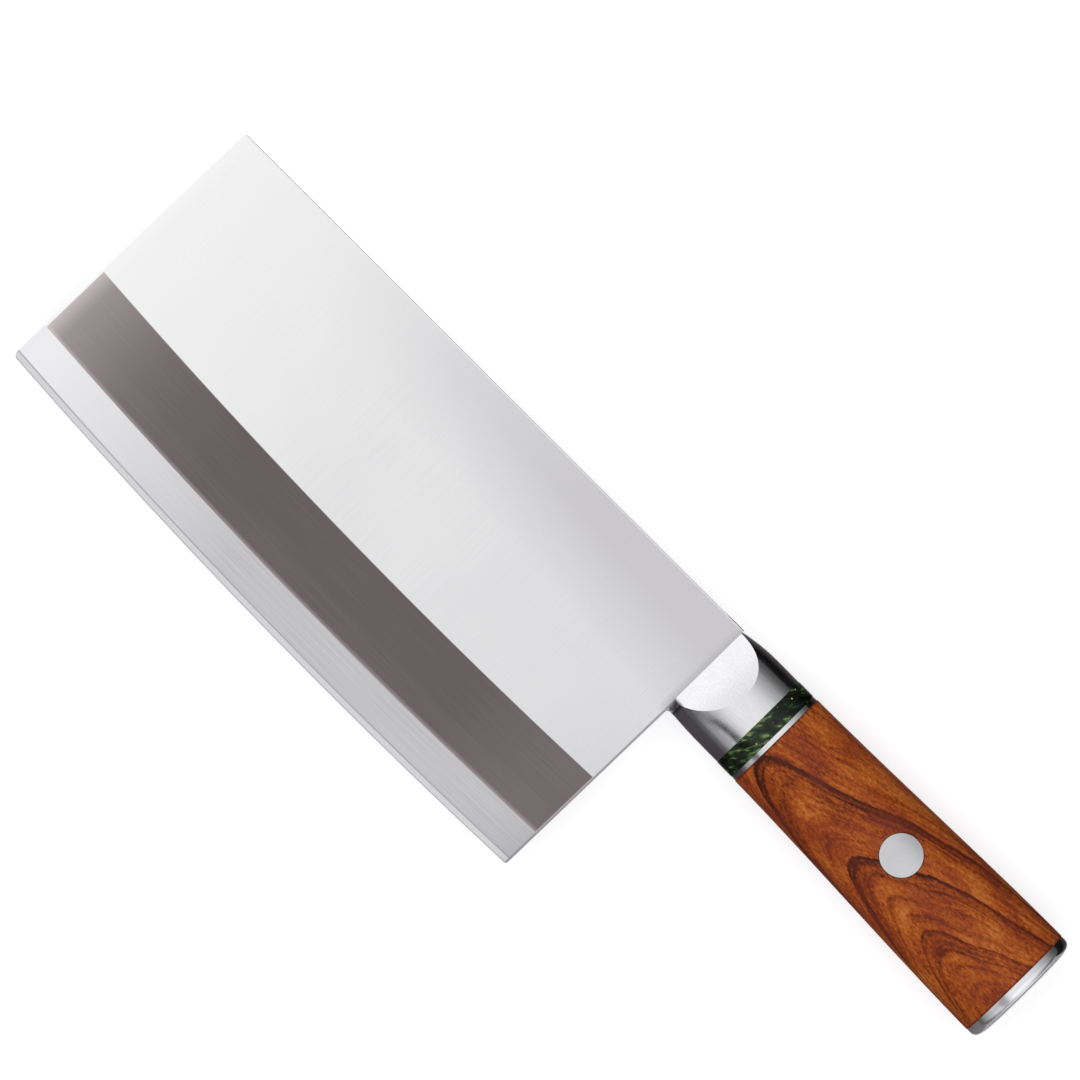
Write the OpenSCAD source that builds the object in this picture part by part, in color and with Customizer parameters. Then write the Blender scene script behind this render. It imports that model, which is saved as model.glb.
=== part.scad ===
// A cleaver lying on its side: X runs along the handle to the butt, Y from the edge to the spine,
// Z out of the blade's front face. The pieces are drawn from the middle of the bolster's front face.

/* [Blade outline] */
// Length of the blade at the spine, from the bolster to the tip end
blade_l = 190.3; // [150:1:230]
// Height of the spine above the handle's axis at the bolster
spine_y = 14.6; // [14.4:0.1:15.4]
// Angle at which the spine falls towards the tip, in degrees
spine_slope = 0.55; // [0:0.05:2]
// Lean of the tip end away from square, in degrees
tip_lean = 0.7; // [-2:0.1:4]
// Depth of the edge's lowest point below the handle's axis
edge_drop = 77.3; // [60:0.5:95]
// Distance from the bolster to the edge's lowest point
belly_x = 81.5; // [60:0.5:110]
// Radius of the edge's curve
edge_r = 1819; // [900:10:4000]
// How far the heel stands past the bolster's front, just below it
heel_x = 0.65; // [0.3:0.05:1]
// Lean of the heel away from square, in degrees
heel_lean = 0.75; // [0:0.05:2]
// Rounding of the corners at the tip
tip_corner_r = 1.5; // [0.5:0.1:4]
// Rounding of the corner at the heel
heel_corner_r = 0.9; // [0.4:0.1:3]
// Radius of the fillet between heel and bolster
heel_fillet_r = 0.9; // [0.5:0.1:1.5]

/* [Blade thickness] */
// Thickness of the blade at the spine
blade_t = 2.2; // [2:0.1:3.4]
// Thickness of the hard core
core_t = 0.9; // [0.6:0.05:1.2]
// Height above the edge at which the ground bevel starts
bevel_h = 33.2; // [25:0.5:45]
// Height above the edge at which the core comes out of the cladding
core_h = 11.8; // [8:0.1:20]
// Thickness of the cladding's feather end
feather_t = 0.06; // [0.04:0.01:0.1]
// Height of the honed bevel
hone_h = 1.9; // [1:0.1:4]
// Thickness of the core where the honed bevel starts
hone_t = 0.36; // [0.2:0.02:0.5]
// Thickness of the very edge
edge_t = 0.08; // [0.05:0.01:0.15]
// Rounding of the corners along spine, tip and heel
ease_r = 0.35; // [0.2:0.05:0.6]

/* [Tang] */
// Height of the tang and the rivet above the handle's axis
tang_y = 2.3; // [0:0.1:3]
// Length of the blade's tongue in the bolster
tongue_l = 10; // [6:0.5:14]
// Height of the tongue
tongue_h = 11; // [8:0.5:12]
// Thickness of the tongue
tongue_t = 1.8; // [1.5:0.1:1.9]
// Height of the tang
tang_h = 13; // [12.5:0.5:15]
// Thickness of the tang
tang_t = 5; // [4:0.1:6]
// Diameter of the tang's threaded end
stud_d = 6; // [5:0.5:7]

/* [Bolster] */
// Length of the bolster
bolster_l = 20.2; // [17:0.1:26]
// Thickness left between the scoops at the blade
scoop_t = 11; // [9:0.2:13]
// Radius of the scooped cheek
scoop_r = 90; // [70:1:120]
// Angle at which the scoop starts at the blade, in degrees
scoop_angle = 21; // [18:0.5:23]
// Angle by which the scoop faces the spine, in degrees
scoop_tilt = 4.3; // [0:0.1:6]
// Length over which the bolster's front narrows
nose_l = 13; // [10:0.5:16]
// How far the front's upper edge falls
nose_top = 1.3; // [1:0.05:3]
// How far the front's lower edge rises
nose_bottom = 0.65; // [0.2:0.05:1.5]
// Rounding of the front's lower corner
nose_r = 2.2; // [1.8:0.1:3]
// Thickness of the bolster's front wall, between blade and tang
nose_wall = 3; // [2:0.25:4]

/* [Rings] */
// Width of the resin ring
resin_w = 5.5; // [3:0.1:9]
// Width of the steel ring
ring_w = 1.5; // [0.8:0.1:3]

/* [Handle] */
// Length of the wooden body
wood_l = 91.7; // [80:0.5:120]
// Height of the handle at the bolster
front_h = 31.2; // [29:0.2:34]
// Height of the handle at the butt
butt_h = 36; // [32:0.2:42]
// Thickness of the handle at the bolster
front_w = 22.5; // [20:0.5:26]
// Thickness of the handle at the butt
butt_w = 25; // [22:0.5:30]
// Height of the handle's widest line above its axis
widest_y = 1.5; // [0:0.1:3]
// Fullness of the section: 2 is an ellipse
fullness = 2.2; // [2:0.05:3]

/* [Rivet] */
// Distance from the bolster's front to the rivet
rivet_x = 72.7; // [50:0.1:90]
// Diameter of the rivet's heads
rivet_d = 12.3; // [9:0.1:14]
// Depth of the heads' seats below the handle's widest line
rivet_seat = 2.6; // [2:0.1:4]
// Diameter of the rivet's tube
tube_d = 7; // [6:0.1:8]
// Diameter of the rivet's shank
shank_d = 4; // [3:0.1:5]

/* [Butt] */
// Length of the end cap along its side
cap_l = 3.75; // [3.4:0.05:8]
// Rounding of the cap's rim
cap_r = 2.5; // [1:0.1:3]
// Height of the cap's dome
cap_dome = 0.6; // [0.2:0.1:1.5]
// Wood between the tang's slot and the nut's recess
web_l = 3.5; // [2.5:0.1:6]
// Diameter of the nut's recess
recess_d = 15; // [14:0.5:16]
// Width of the nut across its flats
nut_w = 10; // [9:0.5:11]
// Height of the nut
nut_h = 5; // [4:0.5:6]
// Diameter of the washer
washer_d = 13; // [12.5:0.1:13.5]
// Thickness of the washer
washer_t = 1.6; // [1:0.1:2]
// Free length of the stud beyond the nut
stud_end = 0.9; // [0.5:0.1:1.5]
// Diameter of the cap's dowels
dowel_d = 2; // [1.5:0.1:2.5]
// Distance of each dowel from the tang's axis
dowel_y = 11; // [10:0.25:12]
// Depth of the dowels in the wood
dowel_wood = 6; // [4:0.5:10]
// Depth of the dowels in the cap
dowel_cap = 2.4; // [1.5:0.1:2.8]

/* [Fits] */
// Clearance all round a piece that is pushed into another
fit_gap = 0.05; // [0.02:0.01:0.1]
// Epoxy all round the tang
bed_t = 1; // [0.6:0.1:1.4]

/* [Hidden] */
$fn = 64;
// Points round the handle's section, and along its length
section_n = 56;
wood_steps = 16;
corner_steps = 6;
// A piece that only cuts reaches this far past what it cuts
past = 1;

// Stations along the handle
resin_x = bolster_l;
ring_x = resin_x + resin_w;
wood_x = ring_x + ring_w;
cap_x = wood_x + wood_l;
butt_x = cap_x + cap_l + cap_dome;
recess_l = washer_t + nut_h + stud_end + 1;
recess_x = cap_x - recess_l;
tang_end = recess_x - web_l;

// Lines that bound the blade
arc_x = -belly_x;
arc_y = edge_r - edge_drop;
sweep = 2 * asin((blade_l + belly_x) / edge_r);
function spine_at(x) = spine_y + x * tan(spine_slope);
function edge_at(x) = arc_y - sqrt(edge_r * edge_r - (x - arc_x) * (x - arc_x));
function edge_tilt(x) = asin((x - arc_x) / edge_r);
tip_top = [-blade_l, spine_at(-blade_l)];
tip_foot_x = -blade_l - (spine_at(-blade_l) + edge_drop) * tan(tip_lean);
tip_foot = [tip_foot_x, edge_at(tip_foot_x)];
heel_top_y = -half_bottom(nose_r) - heel_fillet_r;
heel_foot_x = heel_x - (edge_drop + heel_top_y) * tan(heel_lean);
heel_foot = [heel_foot_x, edge_at(heel_foot_x)];
heel_top = [heel_x, heel_top_y];

// Where the tangents at the two ends of the edge meet, below the edge
tip_run = tan(edge_tilt(tip_foot_x));
heel_run = tan(edge_tilt(heel_foot_x));
meet_x = (heel_foot.y - tip_foot.y + tip_run * tip_foot.x - heel_run * heel_foot.x) / (tip_run - heel_run);
meet = [meet_x, tip_foot.y + tip_run * (meet_x - tip_foot.x)];

// The whole knife's box, from which its place on the ground follows
butt_side_x = cap_x + cap_l - cap_r;
mid_x = (tip_foot_x + butt_x) / 2;
top_y = half_top(butt_side_x);
mid_y = (top_y - edge_drop) / 2;
half_w = half_width(butt_side_x);

function unit(v) = v / norm(v);

// A corner at b between a and c, rounded with radius r
function round_corner(a, b, c, r) =
    let (
        u = unit(a - b),
        v = unit(c - b),
        half = acos(u * v) / 2,
        centre = b + unit(u + v) * r / sin(half),
        from = b + u * r / tan(half) - centre,
        to = b + v * r / tan(half) - centre
    )
    [for (i = [0:corner_steps]) centre + r * unit(from * (corner_steps - i) + to * i)];

// Half heights and half width of the handle at x
function smooth(u) = let (t = min(1, max(0, u))) t * t * (3 - 2 * t);
function swell(x) = smooth((x - bolster_l) / (cap_x + cap_l - bolster_l));
function nose(x) = pow(max(0, 1 - x / nose_l), 2);
function nose_round(x) = x >= nose_r ? 0 : nose_r - sqrt(nose_r * nose_r - (nose_r - x) * (nose_r - x));
function half_side(x) = front_h / 2 + (butt_h - front_h) / 2 * swell(x);
function half_top(x) = half_side(x) - nose_top * nose(x);
function half_bottom(x) = half_side(x) - nose_bottom * nose(x) - nose_round(x);
function half_width(x) = front_w / 2 + (butt_w - front_w) / 2 * swell(x);

// A station of the handle: its place, its shrink towards the axis and its scale
function station(x, inset = 0, scaled = 1) = [x, inset, scaled];
function stations(from, to, n) = [for (i = [0:n]) station(from + (to - from) * i / n)];
function bend(v) = sign(v) * pow(abs(v), 2 / fullness);
function section(s) =
    let (
        at = min(s[0], cap_x + cap_l),
        up = half_top(at) - widest_y,
        down = half_bottom(at) + widest_y,
        wide = half_width(at)
    )
    [for (i = [0:section_n - 1])
        let (
            c = bend(cos(360 * i / section_n)),
            h = bend(sin(360 * i / section_n)),
            tall = h > 0 ? up : down
        )
        [s[0], (widest_y + (tall - s[1]) * h) * s[2], (wide - s[1]) * c * s[2]]];

// A closed solid through the handle's sections at the given stations
module skin(list) {
    last = len(list) - 1;
    n = section_n;
    polyhedron(
        points = [for (s = list) each section(s)],
        faces = concat(
            [[for (i = [n - 1:-1:0]) i]],
            [[for (i = [0:n - 1]) last * n + i]],
            [for (k = [0:last - 1]) for (i = [0:n - 1])
                [k * n + i, (k + 1) * n + (i + 1) % n, (k + 1) * n + i]],
            [for (k = [0:last - 1]) for (i = [0:n - 1])
                [k * n + i, k * n + (i + 1) % n, (k + 1) * n + (i + 1) % n]]
        )
    );
}

// Puts a piece drawn from the bolster's front on the ground
module placed() translate([-mid_x, -mid_y, half_w]) children();

// A bar along X that is centred on the tang's axis
module bar(from, to, high, thick)
    translate([from, tang_y - high / 2, -thick / 2]) cube([to - from, high, thick]);

// A rod along X that is centred on the tang's axis
module rod(from, to, d) translate([from, tang_y, 0]) rotate([0, 90, 0]) cylinder(d = d, h = to - from);

// A rod across the handle on the rivet's axis
module cross_rod(from, to, d) translate([rivet_x, tang_y, from]) cylinder(d = d, h = to - from);

// The handle's outline from the side, over the bolster's front half
module bolster_side() {
    steps = [for (a = [0:15:90]) nose_r * (1 - cos(a))];
    polygon(concat(
        [for (x = steps) [x, -half_bottom(x)]],
        [[nose_l, -half_bottom(nose_l)], [nose_l, half_top(nose_l)]],
        [for (i = [len(steps) - 1:-1:0]) [steps[i], half_top(steps[i])]]
    ));
}

module blade_outline() difference() {
    polygon(concat(
        [[0, spine_at(0)]],
        round_corner([0, spine_at(0)], tip_top, tip_foot, tip_corner_r),
        round_corner(tip_top, tip_foot, meet, tip_corner_r),
        [meet],
        round_corner(meet, heel_foot, heel_top, heel_corner_r),
        [for (a = [0:15:90])
            [heel_x + heel_fillet_r * (1 - cos(a)), heel_top_y + heel_fillet_r * sin(a)]],
        [[heel_x + heel_fillet_r, 0], [0, 0]]
    ));
    bolster_side();
}

// A profile of distance from the edge and height above the middle plane, swept along the edge's curve
module along_edge(profile)
    translate([arc_x, arc_y, 0])
        rotate([0, 0, -90 - sweep / 2])
            rotate_extrude(angle = sweep, $fn = 1440)
                polygon([for (p = profile) [edge_r - p.x, p.y]]);

// The height of the profile's upper end, past the spine
profile_top = edge_drop + spine_y + past;

// The cladding's outer height where its ground bevel starts, and where it ends
flat_z = blade_t / 2;
feather_z = core_t / 2 + feather_t;

// The point of an upright side of the blade at height h above its foot
function side_at(foot, top, h, z) = let (p = foot + unit(top - foot) * h) [p.x, p.y, z];

// Rounds the corner between a face and a side of the blade, which lies to the right on the way from a to b
module ease_cut(a, b) {
    run = b - a;
    translate(a)
        rotate([0, -asin(run.z / norm(run)), atan2(run.y, run.x)])
            difference() {
                translate([-past, -past, -ease_r]) cube([norm(run) + 2 * past, past + ease_r, ease_r + past]);
                translate([-2 * past, ease_r, -ease_r])
                    rotate([0, 90, 0])
                        cylinder(r = ease_r, h = norm(run) + 4 * past);
            }
}

module half_cladding() difference() {
    union() {
        intersection() {
            linear_extrude(blade_t) blade_outline();
            along_edge([
                [profile_top, core_t / 2],
                [profile_top, flat_z],
                [bevel_h, flat_z],
                [core_h, feather_z],
                [core_h, core_t / 2]
            ]);
        }
        translate([-past, tang_y - tongue_h / 2, core_t / 2])
            cube([past + tongue_l, tongue_h, (tongue_t - core_t) / 2]);
    }
    ease_cut([0, spine_at(0), flat_z], [tip_top.x, tip_top.y, flat_z]);
    ease_cut([tip_top.x, tip_top.y, flat_z], side_at(tip_foot, tip_top, bevel_h, flat_z));
    ease_cut(side_at(tip_foot, tip_top, bevel_h, flat_z), side_at(tip_foot, tip_top, core_h, feather_z));
    ease_cut(side_at(heel_foot, heel_top, core_h, feather_z), side_at(heel_foot, heel_top, bevel_h, flat_z));
    ease_cut(side_at(heel_foot, heel_top, bevel_h, flat_z), [heel_top.x, heel_top.y, flat_z]);
}

module blade_core() color([0.82, 0.82, 0.83]) placed() {
    intersection() {
        translate([0, 0, -core_t]) linear_extrude(2 * core_t) blade_outline();
        along_edge([
            [profile_top, -core_t / 2],
            [core_h, -core_t / 2],
            [hone_h, -hone_t / 2],
            [0, -edge_t / 2],
            [0, edge_t / 2],
            [hone_h, hone_t / 2],
            [core_h, core_t / 2],
            [profile_top, core_t / 2]
        ]);
    }
    bar(-past, tongue_l, tongue_h, core_t);
}

module cladding_front() color([0.86, 0.86, 0.87]) placed() half_cladding();

module cladding_back() color([0.86, 0.86, 0.87]) placed() mirror([0, 0, 1]) half_cladding();

// The cylinder that scoops one cheek of the bolster
module scoop()
    rotate([-scoop_tilt, 0, 0])
        translate([-scoop_r * sin(scoop_angle), 0, scoop_t / 2 + scoop_r * cos(scoop_angle)])
            rotate([90, 0, 0])
                cylinder(r = scoop_r, h = 2 * front_h, center = true, $fn = 240);

module bolster() color([0.8, 0.8, 0.82]) placed() difference() {
    skin(concat(
        [for (a = [0:15:90]) station(nose_r * (1 - cos(a)))],
        [for (i = [1:3]) station(nose_r + (nose_l - nose_r) * i / 4)],
        stations(nose_l, bolster_l, 2)
    ));
    scoop();
    mirror([0, 0, 1]) scoop();
    bar(-past, nose_wall + past, tongue_h + 2 * fit_gap, tongue_t + 2 * fit_gap);
    bar(nose_wall, bolster_l + past, tang_h + 2 * fit_gap, tang_t + 2 * fit_gap);
}

module tang() color([0.6, 0.6, 0.62]) placed() difference() {
    union() {
        bar(nose_wall + fit_gap, tang_end, tang_h, tang_t);
        rod(tang_end - past, cap_x - 1, stud_d);
    }
    bar(0, tongue_l + fit_gap, tongue_h + 2 * fit_gap, tongue_t + 2 * fit_gap);
    cross_rod(-tang_t, tang_t, tube_d + 2 * fit_gap);
}

// One of the rings between bolster and wood, open for the tang
module spacer(from, wide) difference() {
    skin(stations(from, from + wide, 1));
    bar(from - past, from + wide + past, tang_h + 2 * fit_gap, tang_t + 2 * fit_gap);
}

module resin_ring() color([0.13, 0.22, 0.12]) placed() spacer(resin_x, resin_w);

module steel_ring() color([0.83, 0.83, 0.85]) placed() spacer(ring_x, ring_w);

module dowel_holes(from, to, d)
    for (side = [-1, 1])
        translate([from, tang_y + side * dowel_y, 0]) rotate([0, 90, 0]) cylinder(d = d, h = to - from);

module wood_handle() color([0.51, 0.26, 0.12]) placed() difference() {
    skin(stations(wood_x, cap_x, wood_steps));
    bar(wood_x - past, tang_end, tang_h + 2 * bed_t, tang_t + 2 * bed_t);
    rod(tang_end - past, cap_x + past, stud_d + 2 * fit_gap);
    rod(recess_x, cap_x + past, recess_d);
    cross_rod(-half_w, half_w, tube_d + 2 * fit_gap);
    cross_rod(seat_z, half_w + past, rivet_d + 2 * fit_gap);
    cross_rod(-half_w - past, -seat_z, rivet_d + 2 * fit_gap);
    dowel_holes(cap_x - dowel_wood - fit_gap, cap_x + past, dowel_d + 2 * fit_gap);
}

// Height of the rivet heads' seats above the middle plane
seat_z = half_width(rivet_x) - rivet_seat;

module bedding() color([0.75, 0.66, 0.45]) placed() difference() {
    bar(wood_x, tang_end, tang_h + 2 * bed_t, tang_t + 2 * bed_t);
    bar(wood_x - past, tang_end + past, tang_h, tang_t);
    cross_rod(-tang_t, tang_t, tube_d + 2 * fit_gap);
}

// A head that is ground flush with the wood
module rivet_head() intersection() {
    skin(stations(rivet_x - rivet_d, rivet_x + rivet_d, 6));
    cross_rod(seat_z, half_w + past, rivet_d);
}

module rivet_pin() color([0.8, 0.8, 0.81]) placed() {
    rivet_head();
    cross_rod(-seat_z, seat_z + rivet_seat / 2, shank_d);
}

module rivet_tube() color([0.8, 0.8, 0.81]) placed() difference() {
    union() {
        mirror([0, 0, 1]) rivet_head();
        cross_rod(-seat_z - rivet_seat / 2, seat_z, tube_d);
    }
    cross_rod(-seat_z - fit_gap, seat_z + past, shank_d + 2 * fit_gap);
}

module washer() color([0.7, 0.7, 0.72]) placed() difference() {
    rod(recess_x, recess_x + washer_t, washer_d);
    rod(recess_x - past, recess_x + washer_t + past, stud_d + 2 * fit_gap);
}

module tang_nut() color([0.66, 0.66, 0.68]) placed() difference() {
    translate([recess_x + washer_t, tang_y, 0])
        rotate([0, 90, 0])
            cylinder(r = nut_w / 2 / cos(30), h = nut_h, $fn = 6);
    rod(recess_x, cap_x, stud_d + 2 * fit_gap);
}

module end_cap() color([0.78, 0.78, 0.8]) placed() difference() {
    skin(concat(
        [station(cap_x)],
        [for (a = [0:15:90]) station(cap_x + cap_l - cap_r * (1 - sin(a)), cap_r * (1 - cos(a)))],
        [for (s = [0.8, 0.6, 0.4, 0.2]) station(cap_x + cap_l + cap_dome * (1 - s * s), cap_r, s)],
        [station(butt_x, cap_r, 0.08)]
    ));
    dowel_holes(cap_x - past, cap_x + dowel_cap + fit_gap, dowel_d + 2 * fit_gap);
}

module cap_dowels() color([0.72, 0.72, 0.74]) placed()
    dowel_holes(cap_x - dowel_wood, cap_x + dowel_cap, dowel_d);

blade_core();
cladding_front();
cladding_back();
bolster();
tang();
resin_ring();
steel_ring();
wood_handle();
bedding();
rivet_pin();
rivet_tube();
washer();
tang_nut();
end_cap();
cap_dowels();
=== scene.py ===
import math

import bpy
import bmesh
from mathutils import Matrix, Vector


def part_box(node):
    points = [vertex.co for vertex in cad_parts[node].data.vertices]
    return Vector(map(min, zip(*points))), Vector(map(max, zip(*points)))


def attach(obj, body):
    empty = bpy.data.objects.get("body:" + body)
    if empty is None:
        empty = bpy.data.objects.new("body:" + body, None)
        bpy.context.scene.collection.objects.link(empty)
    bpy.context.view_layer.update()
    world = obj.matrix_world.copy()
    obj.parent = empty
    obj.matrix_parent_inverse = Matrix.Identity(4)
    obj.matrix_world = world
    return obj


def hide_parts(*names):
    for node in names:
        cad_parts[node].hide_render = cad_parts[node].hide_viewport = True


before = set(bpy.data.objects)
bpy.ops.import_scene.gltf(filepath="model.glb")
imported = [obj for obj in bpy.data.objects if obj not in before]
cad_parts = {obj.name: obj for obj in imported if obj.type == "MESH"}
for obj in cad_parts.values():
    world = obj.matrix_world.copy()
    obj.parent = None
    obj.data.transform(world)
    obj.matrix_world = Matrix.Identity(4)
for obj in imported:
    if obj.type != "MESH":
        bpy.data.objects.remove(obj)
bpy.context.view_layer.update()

# A cleaver that lies on its side. The pieces are modelled in millimetres from the middle of the
# bolster's front face, with X to the butt, Y to the spine and Z up, and are then put in the frame.
millimetre = 0.001
capLow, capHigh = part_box("end_cap")
start = Vector((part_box("bolster")[0].x, (capLow.y + capHigh.y) / 2, (capLow.z + capHigh.z) / 2))


def along(node, side):  # where a piece of the frame begins (0) or ends (1), in mm from the bolster's front
    return (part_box(node)[side].x - start.x) / millimetre


# The handle's shape: an oval that grows from the bolster to the butt
handle = {
    "frontHigh": 31.2, "buttHigh": 36.0,   # its height at the bolster and at the butt
    "frontWide": 22.5, "buttWide": 25.0,   # its thickness there
    "widest": 1.5,                         # height of its widest line above the axis
    "fullness": 2.2,                       # 2 is an ellipse
    "noseLong": 13.0, "noseTop": 1.3, "noseBottom": 0.65, "noseRound": 2.2,
    "capLong": 3.75,                       # straight and rounded part of the end cap
    "rivetX": 72.7,                        # place of the rivet
    "around": 160,                         # points round a section
    "tangHigh": 2.3,                       # height of the tang and the rivet above the axis
    "gap": 0.05,                           # clearance of a piece in its seat
}
resinX = along("resin_ring", 0)
ringX = along("steel_ring", 0)
woodX = along("wood_handle", 0)
capX = along("end_cap", 0)
buttX = along("end_cap", 1)
fullX = capX + handle["capLong"]           # the handle is at its fullest here


def swell(x):
    t = min(1, max(0, (x - resinX) / (fullX - resinX)))
    return t * t * (3 - 2 * t)


def halfHigh(x, top):
    half = handle["frontHigh"] + (handle["buttHigh"] - handle["frontHigh"]) * swell(x)
    nose = max(0, 1 - x / handle["noseLong"]) ** 2
    if top:
        return half / 2 - handle["noseTop"] * nose
    r = handle["noseRound"]
    cut = r - math.sqrt(r * r - (r - x) ** 2) if x < r else 0
    return half / 2 - handle["noseBottom"] * nose - cut


def halfWide(x):
    return (handle["frontWide"] + (handle["buttWide"] - handle["frontWide"]) * swell(x)) / 2


def bend(v):
    return math.copysign(abs(v) ** (2 / handle["fullness"]), v)


def section(x, inset=0.0, scale=1.0):  # the oval at x, as a ring for loft()
    at = min(x, fullX)
    wide = halfWide(at) - inset
    middle = handle["widest"]

    def point(angle):
        up = bend(math.sin(angle))
        tall = halfHigh(at, True) - middle if up > 0 else halfHigh(at, False) + middle
        return Vector((x, (middle + (tall - inset) * up) * scale, wide * bend(math.cos(angle)) * scale))
    return point


def skinHeight(x, y):  # height of the handle's front face above the middle plane
    middle = handle["widest"]
    tall = halfHigh(x, True) - middle if y > middle else halfHigh(x, False) + middle
    part = min(1, abs(y - middle) / tall) ** handle["fullness"]
    return halfWide(x) * (1 - part) ** (1 / handle["fullness"])


def loft(rings, around):  # a closed skin through rings, each a function from an angle to a point
    bm = bmesh.new()
    angle = bm.verts.layers.float.new("angle")
    ring = bmesh.ops.create_circle(bm, segments=around, radius=1.0)["verts"]
    for v in ring:
        v[angle] = math.atan2(v.co.y, v.co.x)
        v.co = rings[0](v[angle])
    edges = list(bm.edges)
    for place in rings[1:]:
        grown = bmesh.ops.extrude_edge_only(bm, edges=edges)["geom"]
        for v in grown:
            if isinstance(v, bmesh.types.BMVert):
                v.co = place(v[angle])
        edges = [e for e in grown if isinstance(e, bmesh.types.BMEdge)]
        edges = [e for e in edges if e.is_boundary]
    bmesh.ops.edgeloop_fill(bm, edges=[e for e in bm.edges if e.is_boundary])
    bmesh.ops.recalc_face_normals(bm, faces=bm.faces)
    bm.verts.layers.float.remove(angle)
    return bm


def rod(bm, begin, end, radius, centre, axis="X", around=96):  # a straight round bar
    turn = Matrix.Rotation(math.pi / 2, 4, "Y") if axis == "X" else Matrix.Identity(4)
    middle = (begin + end) / 2
    place = Vector((middle, *centre)) if axis == "X" else Vector((*centre, middle))
    bmesh.ops.create_cone(bm, cap_ends=True, segments=around, radius1=radius, radius2=radius,
                          depth=end - begin, matrix=Matrix.Translation(place) @ turn)


def block(bm, begin, end, high, thick):  # a square bar along X on the tang's axis
    size = Matrix.Diagonal((end - begin, high, thick, 1))
    place = Matrix.Translation(((begin + end) / 2, handle["tangHigh"], 0))
    bmesh.ops.create_cube(bm, size=1, matrix=place @ size)


def toObject(bm, name):  # the piece at its place in the frame, with its object at the origin
    bmesh.ops.transform(bm, matrix=Matrix.Translation(start) @ Matrix.Scale(millimetre, 4), verts=bm.verts)
    mesh = bpy.data.meshes.new(name)
    bm.to_mesh(mesh)
    bm.free()
    piece = bpy.data.objects.new(name, mesh)
    bpy.context.scene.collection.objects.link(piece)
    return piece


def cutAway(piece, cutters):  # takes closed shapes out of a piece
    for bm in cutters:
        tool = toObject(bm, "cutter")
        cut = piece.modifiers.new("cut", "BOOLEAN")
        cut.operation = "DIFFERENCE"
        cut.solver = "EXACT"
        cut.object = tool
        bpy.context.view_layer.update()
        done = piece.evaluated_get(bpy.context.evaluated_depsgraph_get())
        mesh = bpy.data.meshes.new_from_object(done)
        piece.modifiers.clear()
        piece.data = mesh
        bpy.data.objects.remove(tool)


def dress(piece, material, slot, *nodes, sharp=32):  # smooths, colours and seats a finished piece
    bm = bmesh.new()
    bm.from_mesh(piece.data)
    bmesh.ops.remove_doubles(bm, verts=bm.verts, dist=1e-7)
    bmesh.ops.dissolve_degenerate(bm, edges=bm.edges, dist=1e-7)
    for face in bm.faces:
        face.smooth = True
    for edge in bm.edges:
        edge.smooth = len(edge.link_faces) == 2 and edge.calc_face_angle(0) < math.radians(sharp)
    bm.to_mesh(piece.data)
    bm.free()
    piece.data.materials.clear()
    piece.data.materials.append(material)
    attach(piece, "root")
    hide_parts(*nodes)


# Materials

def colour(code):  # an sRGB hex value as linear light
    parts = [int(code[i:i + 2], 16) / 255 for i in (1, 3, 5)]
    return tuple(p / 12.92 if p <= 0.04045 else ((p + 0.055) / 1.055) ** 2.4 for p in parts) + (1.0,)


def newMaterial(name):
    material = bpy.data.materials.new(name)
    material.use_nodes = True
    material.node_tree.nodes.clear()
    return material


def add(owner, kind, inputs=(), stops=(), **settings):  # one node, with its settings and links
    node = owner.node_tree.nodes.new("ShaderNode" + kind)
    for name, value in settings.items():
        setattr(node, name, value)
    if not isinstance(inputs, dict):   # a plain list fills the inputs in their order
        inputs = dict(enumerate(inputs))
    for key, value in inputs.items():
        if isinstance(value, bpy.types.Node):
            value = next(s for s in value.outputs if s.enabled)
        if isinstance(value, bpy.types.NodeSocket):
            owner.node_tree.links.new(value, node.inputs[key])
        else:
            node.inputs[key].default_value = value
    for number, (place, level) in enumerate(stops):
        ramp = node.color_ramp.elements
        stop = ramp[number] if number < len(ramp) else ramp.new(place)
        stop.position = place
        stop.color = colour(level) if isinstance(level, str) else (level, level, level, 1.0)
    return node


def finish(material, shader):
    add(material, "OutputMaterial", {"Surface": shader})
    return material


spread = (0.3, 0.7)   # nearly all values of a noise lie between these


def knifeSpace(material):  # the surface's place in mm from the middle of the bolster's front
    there = add(material, "TexCoord")
    return add(material, "Mapping", {
        "Vector": there.outputs["Object"], "Scale": (1 / millimetre,) * 3, "Location": -start / millimetre})


# The blade's lines, for the materials that follow them
blade = {
    "edgeCentre": (-81.5, 1741.7, 0), "edgeRadius": 1819.0,   # the arc of the cutting edge
    "bevelHigh": 33.2,          # height above the edge at which the ground bevel starts
    "coreHigh": 11.8,           # height at which the core shows
    "honeHigh": 1.9,            # height of the honed bevel
    # the ends of the tip's line, the spine's line at the bolster, and the ends of the heel's line
    "tipTop": (-190.3, 12.77), "tipFoot": (-191.4, -73.98), "spineEnd": (0, 14.6),
    "heelTop": (0.65, -16.05), "heelFoot": (-0.15, -75.48),
}


def heightOverEdge(material, place):  # distance from the cutting edge, in mm
    flat = add(material, "VectorMath", [place, (1, 1, 0)], operation="MULTIPLY")
    away = add(material, "VectorMath", [flat, blade["edgeCentre"]], operation="DISTANCE")
    return add(material, "Math", [blade["edgeRadius"], away.outputs["Value"]], operation="SUBTRACT")


def insideLine(material, place, foot, top, side):  # distance from a straight end of the blade, in mm
    run = (Vector(top) - Vector(foot)).normalized()
    outward = Vector((run.y, -run.x, 0)) * side
    reach = add(material, "VectorMath", [place, outward], operation="DOT_PRODUCT")
    offset = outward.x * foot[0] + outward.y * foot[1]
    return add(material, "Math", [offset, reach.outputs["Value"]], operation="SUBTRACT")


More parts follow.
